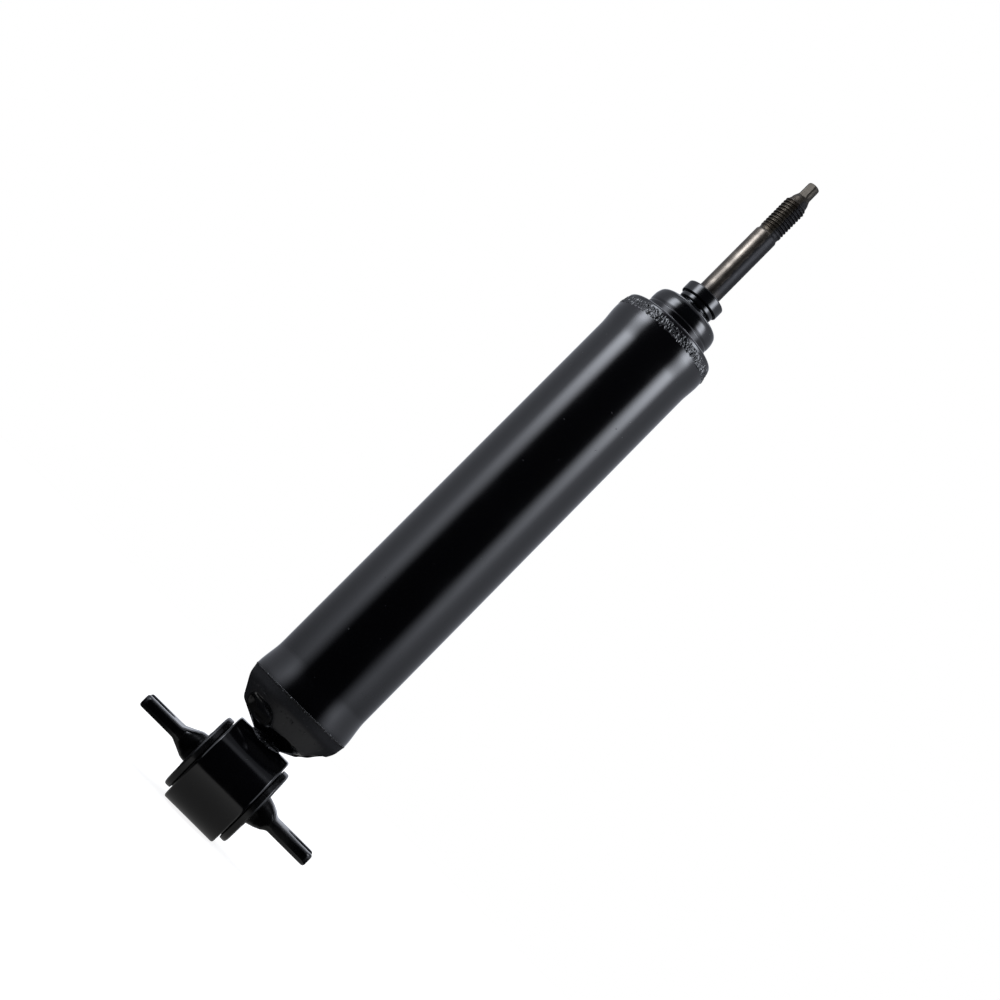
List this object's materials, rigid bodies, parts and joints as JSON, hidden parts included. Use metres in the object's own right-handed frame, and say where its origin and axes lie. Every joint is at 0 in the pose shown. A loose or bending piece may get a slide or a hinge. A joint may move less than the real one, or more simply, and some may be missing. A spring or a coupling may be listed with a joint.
{
  "type": "hydraulic shock absorber",
  "caption": "Twin tube hydraulic shock absorber with a bar pin through a rubber bushed lower eye and a threaded upper stud.",
  "frame": {"origin": "centre of the lower eye, on the axis of the bar pin", "axes": "+Z along the absorber from the eye to the stud, +X along the bar pin, -Y toward the side with the clearest dimple of the base cup"},
  "size_m": [0.0884, 0.0476, 0.3561],
  "materials": {
    "painted_steel": "gloss",
    "bush_rubber": "gloss",
    "seal_rubber": "matte",
    "rod_steel": "satin",
    "bright_steel": "satin",
    "spring_steel": "satin",
    "sintered_iron": "matte",
    "bronze": "satin",
    "band_plastic": "matte"
  },
  "bodies": {
    "bar": {"bar_pin": "painted_steel"},
    "barrel": {"eye_ring": "painted_steel", "eye_bushing": "bush_rubber", "eye_weld": "painted_steel", "base_cup": "painted_steel", "base_weld": "painted_steel", "reservoir_tube": "painted_steel", "top_weld": "painted_steel", "top_cap": "painted_steel", "pressure_tube": "bright_steel", "rod_guide": "sintered_iron", "guide_bush": "bronze", "rod_seal": "seal_rubber", "seal_washer": "bright_steel", "seal_spring": "spring_steel", "foot_valve_body": "sintered_iron", "foot_discs": "spring_steel", "foot_plate": "spring_steel", "foot_star_spring": "spring_steel", "foot_bolt": "bright_steel", "foot_nut": "bright_steel"},
    "band": {"piston_band": "band_plastic"},
    "rod": {"piston_rod": "rod_steel", "stud_collar": "painted_steel", "collar_ring": "painted_steel", "rebound_stop": "bright_steel", "rebound_bumper": "seal_rubber", "piston": "sintered_iron", "piston_plate": "spring_steel", "piston_star_spring": "spring_steel", "support_washer": "bright_steel", "rebound_discs": "spring_steel", "rebound_seat": "bright_steel", "rebound_spring": "spring_steel", "piston_nut": "bright_steel"}
  },
  "joints": [
    {"name": "lower_bush_twist", "type": "hinge", "parent": "bar", "child": "barrel", "pos_m": [0, 0, 0], "axis": [1, 0, 0], "range_deg": [-18, 18], "stiffness_Nm_per_rad": 40},
    {"name": "rod_slide", "type": "slide", "parent": "barrel", "child": "band", "axis": [0, 0, 1], "range_m": [0, 0.13]},
    {"name": "rod_spin", "type": "hinge", "parent": "band", "child": "rod", "pos_m": [0, 0, 0], "axis": [0, 0, 1], "continuous": true}
  ]
}
